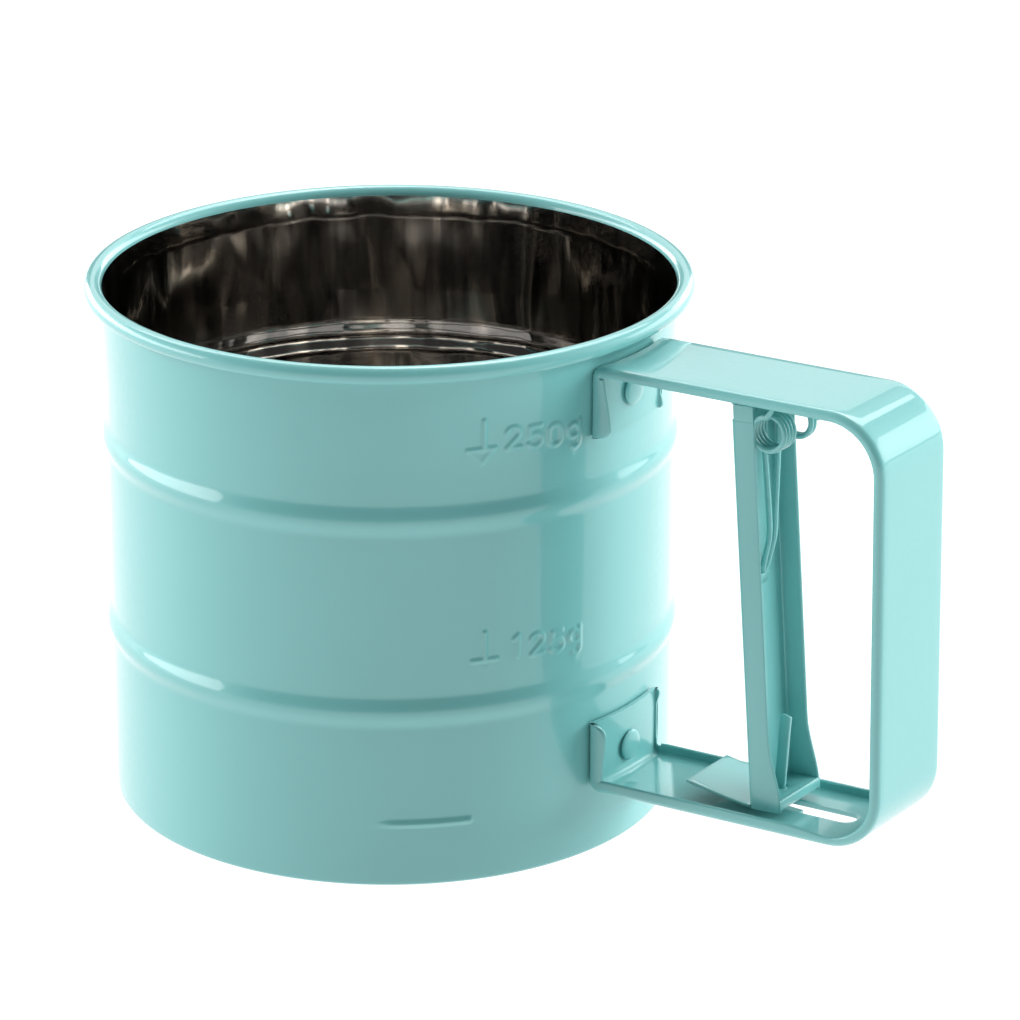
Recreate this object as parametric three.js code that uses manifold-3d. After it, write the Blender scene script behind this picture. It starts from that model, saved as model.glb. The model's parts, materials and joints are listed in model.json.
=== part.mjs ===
// One-hand flour sifter: a painted steel cup with a squeeze trigger in its handle.
// Millimetres, +Z up. The cup axis is X = 0 until the last step moves the origin
// to the middle of the footprint. The handle points along +X.
import * as THREE from "three";
import { mergeVertices } from "three/addons/utils/BufferGeometryUtils.js";
import Module from "manifold-3d";

const wasm = await Module();
wasm.setup();

const DEG = Math.PI / 180;
const GAP = 0.3;

// cup
const CUP_R = 50;
const CUP_H = 95.3;
const WALL = 0.6;
const CURL_R = 1.57;
const CURL_SHEET = 0.5;
const CURL_CENTRE = [51.9, CUP_H - CURL_R];
const BEAD_Z = [32.2, 66.9];
const BEAD_HALF = 3.2;
const BEAD_RISE = 0.85;
const FLARE = 0.35;
const CUP_SIDES = 60;

// sieve and agitator
const SCREEN_Z = 1.9;
const SCREEN_T = 0.6;
const RING_Z = [0.9, 3.7];
const RING_R = [46, 49];
const PLATE_T = 0.8;
const AGITATOR_Z = 4.3;
const BLADE_R = 43;
const BLADE_W = 7;
const VANE_TOP = 7.9;
const DRIVE_R = 15;
const STRIP_Z = 8.6;
const STRIP_RISE = 2.5;
const SPIDER_Z = 11.25;
const POCKET_HALF = 8.7 * DEG;
const POCKET_TURNS = [-46.9, 73.1, 193.1].map((a) => a * DEG);
const WASHER_T = 0.5;

// handle
const HANDLE_W = 20.6;
const SHEET = 0.8;
const FLANGE = 2.5;
const HANDLE_TOP = [[50.3, 90.2], [106.6, 91.8]];
const HANDLE_LOW = [[50.3, 12.0], [107.8, 14.5]];
const HANDLE_BEND = 10.5;
const TAB_BEND = 1.6;
const TAB_TOP_Z = 77.3;
const TAB_LOW_Z = 24.8;
const TAB_R = CUP_R + GAP;
const SLOT_X = [79.5, 96.3];
const SLOT_Y = [-1.4, 3.0];
const RIVET_Z = { upper: 83.6, lower: 17.8 };

// trigger
const PIVOT = [76.35, 87.5];
const TRIGGER_TILT = 4.2 * DEG;
const TRIGGER_TURN = 9.5 * DEG;
const TRIGGER_W = 13.2;
const TRIGGER_SHEET = 0.6;
const KNUCKLE_R = 1.6;
const PIN_R = 0.8;
const NOTCH_DROP = 69.7;
const TRAVEL = NOTCH_DROP * (Math.sin(TRIGGER_TILT + TRIGGER_TURN) - Math.sin(TRIGGER_TILT));
const DRIVE_TURN = Math.asin(TRAVEL / 2 / DRIVE_R);

// spring
const SPRING_AT = [81.8, 83.3];
const SPRING_R = 3.0;
const WIRE_R = 0.42;
const SPRING_PITCH = 0.9;
const NEAR_COIL = { inner: 1.9, turns: 4.25 };
const FAR_COIL = { inner: 2.7, turns: 2.5 };
const LEG_Y = 0.5;

const paint = new THREE.MeshStandardMaterial({ color: 0x8fd6d3, roughness: 0.22, metalness: 0 });
const steel = new THREE.MeshStandardMaterial({ color: 0xb9bcbd, roughness: 0.2, metalness: 1 });
const zinc = new THREE.MeshStandardMaterial({ color: 0x9aa0a3, roughness: 0.35, metalness: 1 });

const sifter = new THREE.Group();

// ---------------------------------------------------------------- solids

// Welds a geometry, drops triangles of no area and turns its faces outward.
function welded(geometry) {
  const bare = geometry.index ? geometry.toNonIndexed() : geometry.clone();
  bare.deleteAttribute("normal");
  bare.deleteAttribute("uv");
  const merged = mergeVertices(bare, 1e-4);
  const place = merged.attributes.position;
  const corner = (i) => new THREE.Vector3().fromBufferAttribute(place, i);
  const triangles = [];
  let volume = 0;
  for (let i = 0; i < merged.index.count; i += 3) {
    const [a, b, c] = [0, 1, 2].map((k) => merged.index.getX(i + k));
    if (a === b || b === c || a === c) continue;
    triangles.push([a, b, c]);
    volume += corner(a).dot(corner(b).cross(corner(c)));
  }
  const facing = volume < 0 ? triangles.map(([a, b, c]) => [a, c, b]) : triangles;
  merged.setIndex(facing.flat());
  return merged;
}

function solid(geometry) {
  const clean = welded(geometry);
  return new wasm.Manifold(new wasm.Mesh({
    numProp: 3,
    vertProperties: new Float32Array(clean.attributes.position.array),
    triVerts: new Uint32Array(clean.index.array),
  }));
}

function geometryOf(body) {
  const mesh = body.getMesh();
  const geometry = new THREE.BufferGeometry();
  geometry.setAttribute("position", new THREE.BufferAttribute(mesh.vertProperties, 3));
  geometry.setIndex(new THREE.BufferAttribute(mesh.triVerts, 1));
  return geometry;
}

function add(name, shape, material) {
  const geometry = shape.isBufferGeometry ? welded(shape) : geometryOf(shape);
  const mesh = new THREE.Mesh(geometry, material);
  mesh.name = name;
  sifter.add(mesh);
  return mesh;
}

const outline = (points) => new THREE.Shape(points.map(([x, y]) => new THREE.Vector2(x, y)));

// A flat plate: an outline in X and Y, from z0 to z1.
function plate(shape, z0, z1, curveSegments = 10) {
  const geometry = new THREE.ExtrudeGeometry(shape, { depth: z1 - z0, bevelEnabled: false, curveSegments });
  return geometry.translate(0, 0, z0);
}

// A side profile: an outline in X and Z, from y0 to y1.
function profile(shape, y0, y1, curveSegments = 10) {
  const geometry = new THREE.ExtrudeGeometry(shape, { depth: y1 - y0, bevelEnabled: false, curveSegments });
  return geometry.rotateX(Math.PI / 2).translate(0, y1, 0);
}

// A turned piece: [radius, height] points about the Z axis.
function turned(points, sides) {
  const line = points.map(([r, z]) => new THREE.Vector2(r, z));
  return new THREE.LatheGeometry(line, sides).rotateX(Math.PI / 2);
}

function cylinder(r, z0, z1, sides = 24) {
  return turned([[0, z0], [r, z0], [r, z1], [0, z1]], sides);
}

function box(low, high) {
  const size = high.map((v, i) => v - low[i]);
  const geometry = new THREE.BoxGeometry(...size);
  return geometry.translate(...low.map((v, i) => v + size[i] / 2));
}

const arc = (cx, cy, r, from, to, steps) => Array.from({ length: steps + 1 }, (_, i) => {
  const a = (from + (to - from) * i / steps) * DEG;
  return [cx + r * Math.cos(a), cy + r * Math.sin(a)];
});

// The same piece at several turns about the cup axis.
const around = (shape, angles) => angles.map((a) => solid(shape.clone().rotateZ(a)));

const join = (bodies) => bodies.reduce((sum, body) => sum.add(body));

// ---------------------------------------------------------------- cup

// Outer radius of the cup wall: straight, with two rounded beads and a slight flare on top.
function wallLine() {
  const line = [[CUP_R - 0.7, 0], [CUP_R, 0.7]];
  for (const z of BEAD_Z) {
    for (const step of [-1, -0.5, 0, 0.5, 1]) {
      line.push([CUP_R + BEAD_RISE * Math.cos(step * Math.PI / 2) ** 2, z + step * BEAD_HALF]);
    }
  }
  line.push([CUP_R, 76], [CUP_R + FLARE, 88]);
  return line;
}

function cupBody() {
  const [cx, cz] = CURL_CENTRE;
  const outer = wallLine();
  const lipR = CUP_R - 2.4;
  const inner = outer.slice(2).map(([r, z]) => [r - WALL, z]).reverse();
  const section = [
    [lipR, 0],
    ...outer,
    ...arc(cx, cz, CURL_R - CURL_SHEET, 180, -115, 7),
    ...arc(cx, cz, CURL_R, -115, 180, 8),
    ...inner,
    [CUP_R - WALL, 0.9],
    [CUP_R - WALL - 0.3, WALL],
    [lipR, WALL],
    [lipR, 0],
  ];
  let body = solid(turned(section, CUP_SIDES));
  const dimple = sector(CUP_R - 0.3, CUP_R + 0.9, POCKET_HALF + 0.012, 10.7, 12.6);
  body = body.add(join(around(dimple, POCKET_TURNS)));
  body = body.subtract(join(around(sector(CUP_R - 3, CUP_R + 0.3, POCKET_HALF, 11, 12.3), POCKET_TURNS)));
  body = body.subtract(solid(box([46, 4.1, STRIP_Z - 0.5], [54, 11.3, STRIP_Z + PLATE_T + 0.5])));
  for (const z of Object.values(RIVET_Z)) body = body.subtract(alongX(1.9, 46, 54, z));
  return body;
}

// A curved block between two radii, centred on +X.
function sector(r0, r1, half, z0, z1) {
  const degrees = half / DEG;
  return plate(outline([...arc(0, 0, r1, -degrees, degrees, 6), ...arc(0, 0, r0, degrees, -degrees, 6)]), z0, z1);
}

function alongX(r, x0, x1, z) {
  return solid(cylinder(r, x0, x1, 20).rotateY(Math.PI / 2).translate(0, 0, z));
}

// ---------------------------------------------------------------- sieve

function screenRing() {
  const [z0, z1] = RING_Z;
  const [r0, r1] = RING_R;
  const grooveR = r1 - 1.2;
  const low = SCREEN_Z - GAP;
  const high = SCREEN_Z + SCREEN_T + GAP;
  return turned([
    [r0, z0], [r1, z0], [r1, z1], [r0, z1], [r0, high], [grooveR, high], [grooveR, low], [r0, low], [r0, z0],
  ], 64);
}

function agitator() {
  const hub = solid(cylinder(9, AGITATOR_Z, AGITATOR_Z + PLATE_T, 32));
  const blade = box([6, -BLADE_W / 2, AGITATOR_Z], [BLADE_R, BLADE_W / 2, AGITATOR_Z + PLATE_T]);
  const vane = box([17.5, BLADE_W / 2 - PLATE_T, AGITATOR_Z], [BLADE_R, BLADE_W / 2, VANE_TOP]);
  const turns = [0, 90, 180, 270].map((a) => a * DEG + Math.PI / 2 + DRIVE_TURN);
  let body = join([hub, ...around(blade, turns), ...around(vane, turns)]);
  body = body.subtract(solid(cylinder(2.3, 0, 12)));
  return body.subtract(solid(cylinder(1.8, 0, 12).translate(...driveAt(), 0)));
}

const driveAt = () => [-DRIVE_R * Math.sin(DRIVE_TURN), DRIVE_R * Math.cos(DRIVE_TURN)];

function drivePin() {
  const underside = AGITATOR_Z - GAP;
  const plateTop = AGITATOR_Z + PLATE_T + GAP;
  const stripTop = STRIP_Z + PLATE_T + 2 * GAP + WASHER_T;
  const geometry = turned([
    [0, underside - 0.6], [2.8, underside - 0.6], [2.8, underside], [1.5, underside], [1.5, plateTop],
    [2.8, plateTop], [2.8, STRIP_Z - GAP], [1.5, STRIP_Z - GAP], [1.5, stripTop],
    [2.3, stripTop], [1.9, stripTop + 0.3], [0, stripTop + 0.35],
  ], 20);
  return geometry.translate(...driveAt(), 0);
}

function spider() {
  const hub = solid(cylinder(8, SPIDER_Z, SPIDER_Z + PLATE_T, 32));
  const arm = box([5, -4, SPIDER_Z], [46.5, 4, SPIDER_Z + PLATE_T]);
  const foot = sector(44, CUP_R, POCKET_HALF - 0.01, SPIDER_Z, SPIDER_Z + PLATE_T);
  const body = join([hub, ...around(arm, POCKET_TURNS), ...around(foot, POCKET_TURNS)]);
  return body.subtract(solid(cylinder(2.3, 0, 20)));
}

function pivotRivet() {
  const top = SPIDER_Z + PLATE_T + GAP;
  return turned([
    [0, 3.3], [4, 3.3], [4, AGITATOR_Z - GAP], [2, AGITATOR_Z - GAP], [2, top],
    [4, top], [3.4, top + 0.6], [1.8, top + 0.95], [0, top + 1.05],
  ], 24);
}

const tube = (r0, r1, z0, z1) => turned([[r0, z0], [r1, z0], [r1, z1], [r0, z1], [r0, z0]], 24);

// A flat strip: a slotted eye on the drive pin, a run out through the wall that joggles up
// to the handle's underside, and a tongue folded up from its edge, through the handle's slot
// into the notch in the trigger's foot.
function pullStrip() {
  const [px, py] = driveAt();
  const eyeY = py + 0.5;
  const end = [81.5, 2.7];
  const half = 2.3;
  const lean = Math.atan2(end[1] - eyeY, end[0] - px);
  const side = [-Math.sin(lean) * half, Math.cos(lean) * half];
  const run = outline([
    [px + side[0], eyeY + side[1]], [px - side[0], eyeY - side[1]],
    [end[0] - 7, end[1] - 2.1], [end[0] - 6, -0.4], [84.2, -0.4], [84.2, 4.9], [end[0] - 6, 5.1],
  ]);
  const outerZ = STRIP_Z + STRIP_RISE;
  const joggle = outline([
    [-20, STRIP_Z], [56, STRIP_Z], [64, outerZ], [90, outerZ],
    [90, outerZ + PLATE_T], [64, outerZ + PLATE_T], [56, STRIP_Z + PLATE_T], [-20, STRIP_Z + PLATE_T],
  ]);
  let body = solid(plate(run, 0, 20)).intersect(solid(profile(joggle, -10, 30)));
  body = body.add(solid(cylinder(4.9, STRIP_Z, STRIP_Z + PLATE_T, 28).translate(px, eyeY, 0)));
  const tongue = outline([[80.9, outerZ], [82.8, outerZ], [84.2, 30.9], [82.5, 31.2], [82.1, 30.9]]);
  body = body.add(solid(profile(tongue, -0.4, 0.4)));
  const slot = new THREE.Shape();
  slot.absarc(px, 15 + 0.05, 1.85, 0, Math.PI);
  slot.absarc(px, py - 0.05, 1.85, Math.PI, 2 * Math.PI);
  return body.subtract(solid(plate(slot, 0, 20, 8)));
}

// ---------------------------------------------------------------- handle

// The handle's side view: down one tab, round the C and up the other tab, at a depth
// inside its outer face. tabX is how far out the tabs' cup side lies.
function handleLine(depth, tabX) {
  const bend = HANDLE_BEND - depth;
  const tabBend = TAB_BEND + depth;
  const drop = (a, b) => (b[1] - a[1]) / (b[0] - a[0]);
  const back = (z) => {
    const [b, c] = [HANDLE_TOP[1], HANDLE_LOW[1]];
    return c[0] + (b[0] - c[0]) * (z - c[1]) / (b[1] - c[1]) - depth;
  };
  const topZ = (x) => HANDLE_TOP[0][1] + drop(...HANDLE_TOP) * (x - HANDLE_TOP[0][0]) - depth;
  const lowZ = (x) => HANDLE_LOW[0][1] + drop(...HANDLE_LOW) * (x - HANDLE_LOW[0][0]) + depth;
  const cornerX = [back(topZ(105)), back(lowZ(105))];
  const x0 = tabX + depth;
  return [
    [x0, TAB_TOP_Z],
    ...arc(x0 + tabBend, topZ(x0) - tabBend, tabBend, 180, 90, 5),
    ...arc(cornerX[0] - bend, topZ(cornerX[0]) - bend, bend, 88, 1, 9),
    ...arc(cornerX[1] - bend, lowZ(cornerX[1]) + bend, bend, -1, -88, 9),
    ...arc(x0 + tabBend, lowZ(x0) + tabBend, tabBend, 270, 180, 5),
    [x0, TAB_LOW_Z],
  ];
}

function handleBand(depth, tabX, y0, y1) {
  const loop = [...handleLine(0, tabX), ...handleLine(depth, tabX).reverse()];
  return solid(profile(outline(loop), y0, y1));
}

// The space of the cup and a gap round it, plus some thickness.
function cupSpace(extra) {
  const r = TAB_R + extra;
  return solid(turned([[0, 5], [r, 5], [r, 76], [r + FLARE, 88], [r + FLARE + 0.5, 94], [0, 94]], 144));
}

function handleFrame() {
  const half = HANDLE_W / 2;
  const web = handleBand(SHEET, TAB_R, -half, half);
  const tabs = solid(box([46, -half, TAB_TOP_Z], [52, half, 89.4]))
    .add(solid(box([46, -half, 12.9], [52, half, TAB_LOW_Z])));
  let body = web.add(tabs.intersect(cupSpace(SHEET)));
  for (const y0 of [-half, half - SHEET]) body = body.add(handleBand(FLANGE, TAB_R - 1.6, y0, y0 + SHEET));
  body = body.subtract(cupSpace(0));
  const [x0, x1] = SLOT_X;
  const r = (SLOT_Y[1] - SLOT_Y[0]) / 2;
  const y = (SLOT_Y[1] + SLOT_Y[0]) / 2;
  const slot = new THREE.Shape();
  slot.absarc(x0 + r, y, r, Math.PI / 2, 1.5 * Math.PI);
  slot.absarc(x1 - r, y, r, -Math.PI / 2, Math.PI / 2);
  body = body.subtract(solid(plate(slot, 8, 20)));
  for (const z of Object.values(RIVET_Z)) body = body.subtract(alongX(1.9, 46, 54, z));
  return body;
}

// A rivet along +X: flat head on a backing washer inside the cup, domed head on the tab.
function tabRivet(z) {
  const inside = CUP_R - WALL - 2 * GAP - WASHER_T;
  const outside = TAB_R + SHEET + GAP;
  const geometry = turned([
    [0, inside - 0.7], [2.6, inside - 0.7], [2.6, inside], [1.6, inside], [1.6, outside],
    [2.75, outside], [2.5, outside + 0.6], [1.5, outside + 1], [0, outside + 1.1],
  ], 20);
  return geometry.rotateY(Math.PI / 2).translate(0, 0, z);
}

function backingWasher(z) {
  const inside = CUP_R - WALL - GAP;
  return tube(1.9, 4, inside - WASHER_T, inside).rotateY(Math.PI / 2).translate(0, 0, z);
}

// ---------------------------------------------------------------- trigger

// The trigger is drawn hanging straight down from its pivot, then tilted.
function trigger() {
  const t = TRIGGER_SHEET;
  const half = TRIGGER_W / 2;
  const back = -KNUCKLE_R;
  const foot = -72.2;
  const shelf = -NOTCH_DROP - 0.3;
  const side = outline([
    [back, -0.3], [back, foot], [3.5, foot + 0.35], [3.6, shelf + 0.4],
    [2.9, -62.5], [2.4, -56], [2.4, -0.3],
  ]);
  const front = box([3.0, -half, foot + 0.4], [3.6, half, shelf]);
  let body = join([
    solid(box([back, -half, foot], [back + t, half, -2.8])),
    solid(profile(side, -half, -half + t)),
    solid(profile(side, half - t, half)),
    solid(box([back, -half, shelf - t], [3.6, half, shelf])),
    solid(front),
    solid(flap(back, foot, half)),
    solid(knuckle(back, t)),
  ]);
  const notch = box([back + t, -1.3, shelf - 1.5], [2.3, 1.3, shelf + 1.5]);
  body = body.subtract(solid(notch));
  const springHole = box([back - 1, -1.4, -32.4], [back + t + 0.1, 1.4, -30.4]);
  return body.subtract(solid(springHole));
}

// A thin plate folded towards the cup from the trigger's foot. It covers the handle's slot.
function flap(back, foot, half) {
  const rise = Math.tan(11 * DEG);
  const reach = 12.6;
  const t = TRIGGER_SHEET;
  return profile(outline([
    [back + t, foot], [back + t, foot + t], [back, foot + t], [back - reach, foot + t + reach * rise],
    [back - reach, foot + reach * rise], [back, foot],
  ]), -half, half);
}

// The web's upper end, curled round the hinge pin.
function knuckle(back, t) {
  return profile(outline([
    [back, -4], ...arc(0, 0, KNUCKLE_R, 180, -50, 10),
    ...arc(0, 0, KNUCKLE_R - 0.5, -50, 180, 10), [back + t, -4],
  ]), -4.5, 4.5);
}

function hingeBracket() {
  const [x, z] = PIVOT;
  const top = z + 2.35;
  const ear = outline([
    [x - 2.1, top], [x - 2.1, z - 0.2], ...arc(x, z, 1.7, 200, 340, 6), [x + 2.1, z - 0.2], [x + 2.1, top],
  ]);
  let body = solid(box([x - 2.6, -5.5, top - 0.5], [x + 4.6, 5.5, top]));
  for (const y0 of [-5.5, 4.9]) body = body.add(solid(profile(ear, y0, y0 + 0.6)));
  const bore = solid(cylinder(PIN_R + GAP, -7, 7, 20).rotateX(Math.PI / 2).translate(x, 0, z));
  return body.subtract(bore);
}

function hingePin() {
  const [x, z] = PIVOT;
  const pin = turned([[0, -5.65], [PIN_R, -5.65], [PIN_R, 5.65], [0, 5.65]], 16);
  return pin.rotateX(Math.PI / 2).translate(x, 0, z);
}

// A double torsion spring of one wire: arm, near coil, looped middle leg, far coil, arm.
class SpringWire extends THREE.Curve {
  constructor() {
    super();
    const [cx, cz] = SPRING_AT;
    const coil = (side, { inner, turns }) => Array.from({ length: Math.round(14 * turns) + 1 }, (_, i) => {
      const a = Math.PI - i / 14 * 2 * Math.PI;
      const y = side * (inner + i / 14 * SPRING_PITCH);
      return new THREE.Vector3(cx + SPRING_R * Math.cos(a), y, cz + SPRING_R * Math.sin(a));
    });
    const arm = (from) => [
      new THREE.Vector3((from.x + cx + 1.5) / 2, from.y, 87.4),
      new THREE.Vector3(cx + 1.5, from.y, 89.2),
    ];
    const leg = (side) => [[78.7, 80], [78.7, 73], [78.65, 65.5], [78.2, 59], [77.9, 56.6]].map(
      ([x, z]) => new THREE.Vector3(x, side * LEG_Y, z));
    const near = coil(-1, NEAR_COIL);
    const far = coil(1, FAR_COIL);
    const points = [
      ...arm(near.at(-1)).reverse(), ...near.reverse(), ...leg(-1).slice(1),
      new THREE.Vector3(77.6, 0, 55.9),
      ...leg(1).reverse(), ...far, ...arm(far.at(-1)),
    ];
    this.line = new THREE.CatmullRomCurve3(points, false, "centripetal");
    this.count = points.length;
  }
  getPoint(t) {
    return this.line.getPoint(t);
  }
}

function returnSpring() {
  const wire = new SpringWire();
  const section = outline(arc(0, 0, WIRE_R, 0, 300, 5));
  return new THREE.ExtrudeGeometry(section, { steps: Math.round(wire.count * 1.2), extrudePath: wire });
}

// ---------------------------------------------------------------- assembly

add("cup_body", cupBody(), paint);
add("screen_ring", screenRing(), steel);
add("mesh_screen", cylinder(RING_R[1] - 1.5, SCREEN_Z, SCREEN_Z + SCREEN_T, 64), steel);
add("agitator_plate", agitator(), steel);
add("drive_pin", drivePin(), zinc);
const pinWasherZ = STRIP_Z + PLATE_T + GAP;
add("drive_pin_washer", tube(1.8, 3.2, pinWasherZ, pinWasherZ + WASHER_T).translate(...driveAt(), 0), zinc);
add("retaining_spider", spider(), steel);
add("pivot_rivet", pivotRivet(), zinc);
const hubTop = AGITATOR_Z + PLATE_T + GAP;
add("pivot_washer", tube(2.3, 5.5, hubTop, hubTop + WASHER_T), zinc);
add("pivot_spacer", tube(2.3, 3.6, hubTop + WASHER_T + GAP, SPIDER_Z - GAP), zinc);
add("pull_strip", pullStrip(), paint);
add("handle_frame", handleFrame(), paint);
for (const [end, z] of Object.entries(RIVET_Z)) {
  add(`${end}_tab_rivet`, tabRivet(z), paint);
  add(`${end}_rivet_washer`, backingWasher(z), steel);
}
add("hinge_bracket", hingeBracket(), paint);
add("hinge_pin", hingePin(), zinc);
const lever = add("trigger_lever", trigger(), paint);
lever.position.set(PIVOT[0], 0, PIVOT[1]);
lever.rotation.y = -TRIGGER_TILT;
add("return_spring", returnSpring(), paint);

// The origin is the middle of the footprint, at the base.
const bounds = new THREE.Box3().setFromObject(sifter);
sifter.position.x = -(bounds.min.x + bounds.max.x) / 2;

export default sifter;
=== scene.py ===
import json
import math

import bmesh
import bpy
import numpy as np
from mathutils import Matrix, Vector

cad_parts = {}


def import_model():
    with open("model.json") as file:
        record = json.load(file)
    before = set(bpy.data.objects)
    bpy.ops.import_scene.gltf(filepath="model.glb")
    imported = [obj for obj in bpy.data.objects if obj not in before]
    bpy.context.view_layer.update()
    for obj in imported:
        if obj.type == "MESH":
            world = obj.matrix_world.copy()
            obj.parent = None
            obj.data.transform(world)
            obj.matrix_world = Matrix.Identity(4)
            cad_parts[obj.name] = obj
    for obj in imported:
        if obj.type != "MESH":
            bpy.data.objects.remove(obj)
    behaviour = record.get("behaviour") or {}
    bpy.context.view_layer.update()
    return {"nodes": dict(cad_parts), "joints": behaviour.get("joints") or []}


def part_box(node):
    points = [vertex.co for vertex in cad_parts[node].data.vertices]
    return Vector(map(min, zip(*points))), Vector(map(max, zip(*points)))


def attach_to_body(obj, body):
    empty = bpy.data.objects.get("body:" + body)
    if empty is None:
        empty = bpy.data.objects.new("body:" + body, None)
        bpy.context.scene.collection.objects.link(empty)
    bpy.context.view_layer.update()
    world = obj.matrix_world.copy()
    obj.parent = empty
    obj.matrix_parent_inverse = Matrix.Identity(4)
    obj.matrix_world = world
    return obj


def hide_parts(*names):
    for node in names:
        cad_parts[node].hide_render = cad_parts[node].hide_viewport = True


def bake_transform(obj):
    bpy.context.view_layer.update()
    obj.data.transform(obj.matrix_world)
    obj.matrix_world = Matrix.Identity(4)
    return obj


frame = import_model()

MM = 0.001

# ---------------------------------------------------------------- where things are
# Lengths below are millimetres, with X counted from the cup's axis. The frame says where that axis is.

ring_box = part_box("screen_ring")
AXIS_X = (ring_box[0].x + ring_box[1].x) / 2


def from_axis(v):
    return (v.x - AXIS_X) / MM, v.y / MM, v.z / MM


def cad_box(cad):
    """The lowest and highest corners of a CAD node, at rest."""
    return [from_axis(v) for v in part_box(cad)]


cup_high = cad_box("cup_body")[1]
handle_low, handle_high = cad_box("handle_frame")
joints = {j["name"]: j for j in frame["joints"]}
PIVOT = from_axis(Vector(joints["trigger_pivot"]["pos_m"]))

CUP_R = 50.0
WALL = 0.6
CURL_R = 1.57
CURL_SHEET = 0.5
CURL_X = 51.9
CURL_Z = cup_high[2] - CURL_R
BEAD_Z = (32.2, 66.9)
BEAD_HALF = 3.2
BEAD_RISE = 0.85
FLARE = 0.35
FLARE_Z = 76
FLARE_OVER = 12
LIP_R = 47.6
LIP_ROUND = 0.15
LIP_EDGE = 0.12
BASE_BEND = 0.7

# ---------------------------------------------------------------- mesh helpers


def place(points):
    """From millimetres about the axis to the frame's metres."""
    return [(AXIS_X + x * MM, y * MM, z * MM) for x, y, z in points]


def arc(cx, cy, r, start, end, steps):
    """Points on an arc, from a start to an end angle in degrees."""
    turns = [math.radians(start + (end - start) * i / steps) for i in range(steps + 1)]
    return [(cx + r * math.cos(a), cy + r * math.sin(a)) for a in turns]


def finish_mesh(mesh, sharp):
    """Smooth shading, but for edges sharper than an angle in degrees."""
    mesh.shade_smooth()
    mesh.set_sharp_from_angle(angle=math.radians(sharp))


def new_object(name, mesh, materials):
    for material in materials:
        mesh.materials.append(material)
    obj = bpy.data.objects.new(name, mesh)
    bpy.context.scene.collection.objects.link(obj)
    return obj


def unwelded(name, bm, materials, sharp):
    """An object from a bmesh whose points stay as they are."""
    bmesh.ops.recalc_face_normals(bm, faces=bm.faces)
    mesh = bpy.data.meshes.new(name)
    bm.to_mesh(mesh)
    bm.free()
    finish_mesh(mesh, sharp)
    return new_object(name, mesh, materials)


def from_bm(name, bm, materials, sharp=40):
    """An object from a bmesh, once its coincident points are welded."""
    bmesh.ops.remove_doubles(bm, verts=bm.verts, dist=1e-7)
    return unwelded(name, bm, materials, sharp)


def add_to(bm, points, faces):
    """Adds points, and faces that are lists of their indices."""
    verts = [bm.verts.new(p) for p in place(points)]
    for face in faces:
        if len(set(face)) > 2:
            bm.faces.new([verts[i] for i in face])


def grid_faces(rows, cols, close_rows=False, close_cols=False):
    """The faces between rows of points, as indices."""
    faces = []
    for i in range(rows if close_rows else rows - 1):
        for j in range(cols if close_cols else cols - 1):
            a, b = i, (i + 1) % rows
            c, d = j, (j + 1) % cols
            faces.append((a * cols + c, a * cols + d, b * cols + d, b * cols + c))
    return faces


def bevel(bm, faces, offset, segments=2, least=30):
    """Rounds the edges between these faces that are sharper than an angle."""
    bmesh.ops.recalc_face_normals(bm, faces=faces)
    edges = {e for f in faces for e in f.edges}
    inner = [e for e in edges if len(e.link_faces) == 2]
    sharp = [e for e in inner if e.calc_face_angle(0) > math.radians(least)]
    bmesh.ops.bevel(bm, geom=sharp, offset=offset * MM, segments=segments, profile=0.5, affect="EDGES")


def slab(bm, outline, low, high, axis="y", round_off=0.2, move=None):
    """A flat plate. Its outline is in X and Z (axis y) or in X and Y (axis z)."""
    n = len(outline)
    points = [(u, v, w) for w in (low, high) for u, v in outline]
    if axis == "y":
        points = [(u, w, v) for u, v, w in points]
    if move:
        points = [move(*p) for p in points]
    sides = [(i, (i + 1) % n, n + (i + 1) % n, n + i) for i in range(n)]
    part = bmesh.new()
    add_to(part, points, sides + [tuple(range(n))[::-1], tuple(range(n, 2 * n))])
    if round_off:
        bevel(part, part.faces[:], round_off)
    merge_into(bm, part)


def merge_into(bm, part):
    """Moves one bmesh's faces into another."""
    mesh = bpy.data.meshes.new("part")
    part.to_mesh(mesh)
    part.free()
    bm.from_mesh(mesh)
    bpy.data.meshes.remove(mesh)


def lathe_points(profile, sides):
    turns = [2 * math.pi * j / sides for j in range(sides)]
    return [(r * math.cos(a), r * math.sin(a), z) for r, z in profile for a in turns]


def lathe(name, profile, sides, finish, body, cad, turn=None, sharp=40):
    """A turned piece from a closed list of (radius, height) points. turn moves it into place."""
    bm = bmesh.new()
    points = lathe_points(profile, sides)
    if turn:
        points = [turn(*p) for p in points]
    add_to(bm, points, grid_faces(len(profile), sides, close_rows=True, close_cols=True))
    attach(from_bm(name, bm, [finish], sharp), body, cad)


def attach(obj, body, cad):
    """Makes a piece ride on a body, in the place of a CAD node."""
    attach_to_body(obj, body)
    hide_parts(cad)


def rounded(points, radii, steps=4):
    """A closed outline with its corners rounded by the given radii."""
    made = []
    n = len(points)
    for i, (p, r) in enumerate(zip(points, radii)):
        p = Vector(p)
        if r <= 0:
            made.append(tuple(p))
            continue
        before = (Vector(points[i - 1]) - p).normalized()
        after = (Vector(points[(i + 1) % n]) - p).normalized()
        half = before.angle(after) / 2
        reach = r / math.tan(half)
        centre = p + (before + after).normalized() * (r / math.sin(half))
        a, b = p + before * reach - centre, p + after * reach - centre
        for k in range(steps + 1):
            v = a.lerp(b, k / steps).normalized() * r
            made.append(tuple(centre + v))
    return made


# ---------------------------------------------------------------- materials


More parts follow.
